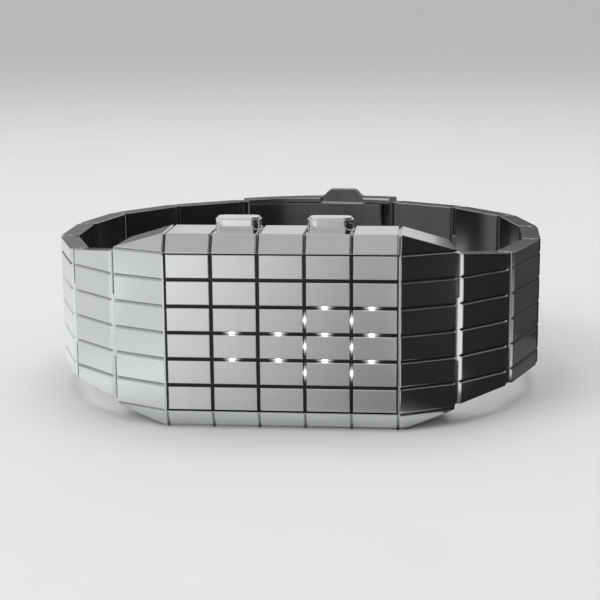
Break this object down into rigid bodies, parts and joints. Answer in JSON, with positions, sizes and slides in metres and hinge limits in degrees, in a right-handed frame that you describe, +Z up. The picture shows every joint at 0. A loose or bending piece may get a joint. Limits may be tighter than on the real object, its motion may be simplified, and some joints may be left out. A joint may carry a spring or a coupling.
{
  "type": "bracelet watch",
  "caption": "Digital bracelet watch: a tiled steel case that shows the time as points of light in the tile grooves, on a link bracelet with a folding clasp.",
  "frame": {"origin": "middle of the watch's footprint, on the plane under the case's lower side", "axes": "+Z up through the pushers, -Y out of the tiled front, +X to the right seen from the front"},
  "size_m": [0.07, 0.069, 0.0274],
  "materials": {
    "brushed_steel": "satin brushed, with bright bevels",
    "polished_steel": "mirror polished",
    "smoked_glass": "dark tinted, clear surface",
    "black_plastic": "moulded, matt",
    "circuit_board": "solder resist",
    "led_lens": "clear epoxy",
    "nickel": "nickel plate",
    "seal_rubber": "matt"
  },
  "bodies": {
    "case": {"case_body": "brushed_steel", "front_tiles": "brushed_steel", "smoked_window": "smoked_glass", "light_mask": "black_plastic", "led_board": "circuit_board", "leds": "led_lens", "driver_chip": "black_plastic", "crystal": "nickel", "movement_holder": "black_plastic", "battery_front": "nickel", "battery_rear": "nickel", "battery_contact": "nickel", "switch_contacts": "nickel", "case_gasket": "seal_rubber", "case_back": "brushed_steel", "case_back_screws": "polished_steel", "pusher_seals": "seal_rubber", "pusher_spring_left": "nickel", "pusher_spring_right": "nickel"},
    "pusher_left": {"pusher_left": "polished_steel", "pusher_clip_left": "nickel"},
    "pusher_right": {"pusher_right": "polished_steel", "pusher_clip_right": "nickel"},
    "link_left_1": {"link_left_1": "brushed_steel", "case_bar_left": "polished_steel", "link_pin_left_1": "polished_steel"},
    "link_left_2": {"link_left_2": "brushed_steel", "link_pin_left_2": "polished_steel"},
    "link_left_3": {"link_left_3": "brushed_steel", "link_pin_left_3": "polished_steel"},
    "link_left_4": {"link_left_4": "brushed_steel", "link_pin_left_4": "polished_steel"},
    "link_left_5": {"link_left_5": "brushed_steel", "link_pin_left_5": "polished_steel"},
    "link_left_6": {"link_left_6": "brushed_steel"},
    "link_right_1": {"link_right_1": "brushed_steel", "case_bar_right": "polished_steel", "link_pin_right_1": "polished_steel"},
    "link_right_2": {"link_right_2": "brushed_steel", "link_pin_right_2": "polished_steel"},
    "link_right_3": {"link_right_3": "brushed_steel", "link_pin_right_3": "polished_steel"},
    "link_right_4": {"link_right_4": "brushed_steel", "link_pin_right_4": "polished_steel"},
    "link_right_5": {"link_right_5": "brushed_steel", "link_pin_right_5": "polished_steel"},
    "link_right_6": {"link_right_6": "brushed_steel"},
    "inner_blade": {"clasp_inner_blade": "brushed_steel", "clasp_bar_left": "polished_steel", "blade_pin_right": "polished_steel"},
    "outer_blade": {"clasp_outer_blade": "brushed_steel"},
    "cover": {"clasp_cover": "brushed_steel", "clasp_bar_right": "polished_steel", "blade_pin_left": "polished_steel", "button_spring_top": "nickel", "button_spring_bottom": "nickel"},
    "button_top": {"clasp_button_top": "polished_steel"},
    "button_bottom": {"clasp_button_bottom": "polished_steel"}
  },
  "joints": [
    {"name": "pusher_left_press", "type": "slide", "parent": "case", "child": "pusher_left", "axis": [0, 0, -1], "range_m": [0, 0.0008], "stiffness_N_per_m": 600, "springref_m": -0.00005, "deforming": ["pusher_spring_left"]},
    {"name": "pusher_right_press", "type": "slide", "parent": "case", "child": "pusher_right", "axis": [0, 0, -1], "range_m": [0, 0.0008], "stiffness_N_per_m": 600, "springref_m": -0.00005, "deforming": ["pusher_spring_right"]},
    {"name": "hinge_left_1", "type": "hinge", "parent": "case", "child": "link_left_1", "pos_m": [-0.0223, -0.02934, 0.0129], "axis": [0, 0, 1], "range_deg": [0, 18]},
    {"name": "hinge_left_2", "type": "hinge", "parent": "link_left_1", "child": "link_left_2", "pos_m": [-0.02895, -0.02269, 0.0129], "axis": [0, 0, 1], "range_deg": [0, 24]},
    {"name": "hinge_left_3", "type": "hinge", "parent": "link_left_2", "child": "link_left_3", "pos_m": [-0.03332, -0.0113, 0.0129], "axis": [0, 0, 1], "range_deg": [0, 19]},
    {"name": "hinge_left_4", "type": "hinge", "parent": "link_left_3", "child": "link_left_4", "pos_m": [-0.03374, 0.00089, 0.0129], "axis": [0, 0, 1], "range_deg": [0, 14.5]},
    {"name": "hinge_left_5", "type": "hinge", "parent": "link_left_4", "child": "link_left_5", "pos_m": [-0.0311, 0.0128, 0.0129], "axis": [0, 0, 1], "range_deg": [0, 24.5]},
    {"name": "hinge_left_6", "type": "hinge", "parent": "link_left_5", "child": "link_left_6", "pos_m": [-0.02376, 0.02254, 0.0129], "axis": [0, 0, 1], "range_deg": [0, 21]},
    {"name": "hinge_right_1", "type": "hinge", "parent": "case", "child": "link_right_1", "pos_m": [0.0223, -0.02934, 0.0129], "axis": [0, 0, -1], "range_deg": [0, 18]},
    {"name": "hinge_right_2", "type": "hinge", "parent": "link_right_1", "child": "link_right_2", "pos_m": [0.02895, -0.02269, 0.0129], "axis": [0, 0, -1], "range_deg": [0, 24]},
    {"name": "hinge_right_3", "type": "hinge", "parent": "link_right_2", "child": "link_right_3", "pos_m": [0.03332, -0.0113, 0.0129], "axis": [0, 0, -1], "range_deg": [0, 19]},
    {"name": "hinge_right_4", "type": "hinge", "parent": "link_right_3", "child": "link_right_4", "pos_m": [0.03374, 0.00089, 0.0129], "axis": [0, 0, -1], "range_deg": [0, 14.5]},
    {"name": "hinge_right_5", "type": "hinge", "parent": "link_right_4", "child": "link_right_5", "pos_m": [0.0311, 0.0128, 0.0129], "axis": [0, 0, -1], "range_deg": [0, 24.5]},
    {"name": "hinge_right_6", "type": "hinge", "parent": "link_right_5", "child": "link_right_6", "pos_m": [0.02376, 0.02254, 0.0129], "axis": [0, 0, -1], "range_deg": [0, 21]},
    {"name": "clasp_end_hinge", "type": "hinge", "parent": "link_left_6", "child": "inner_blade", "pos_m": [-0.01342, 0.02901, 0.0129], "axis": [0, 0, 1], "range_deg": [0, 20]},
    {"name": "clasp_fold", "type": "hinge", "parent": "inner_blade", "child": "outer_blade", "pos_m": [0.01018, 0.0302, 0.0129], "axis": [0, 0, -1], "range_deg": [0, 120]},
    {"name": "cover_fold", "type": "hinge", "parent": "outer_blade", "child": "cover", "pos_m": [-0.01048, 0.03113, 0.0129], "axis": [0, 0, 1], "range_deg": [0, 120]},
    {"name": "clasp_button_top_press", "type": "slide", "parent": "cover", "child": "button_top", "axis": [0, 0, -1], "range_m": [0, 0.0006], "stiffness_N_per_m": 500, "springref_m": -0.00005, "deforming": ["button_spring_top"]},
    {"name": "clasp_button_bottom_press", "type": "slide", "parent": "cover", "child": "button_bottom", "axis": [0, 0, 1], "range_m": [0, 0.0006], "stiffness_N_per_m": 500, "springref_m": -0.00005, "deforming": ["button_spring_bottom"]}
  ],
  "couplings": [
    {"joint": "cover_fold", "follows": "clasp_fold", "ratio": 1}
  ]
}
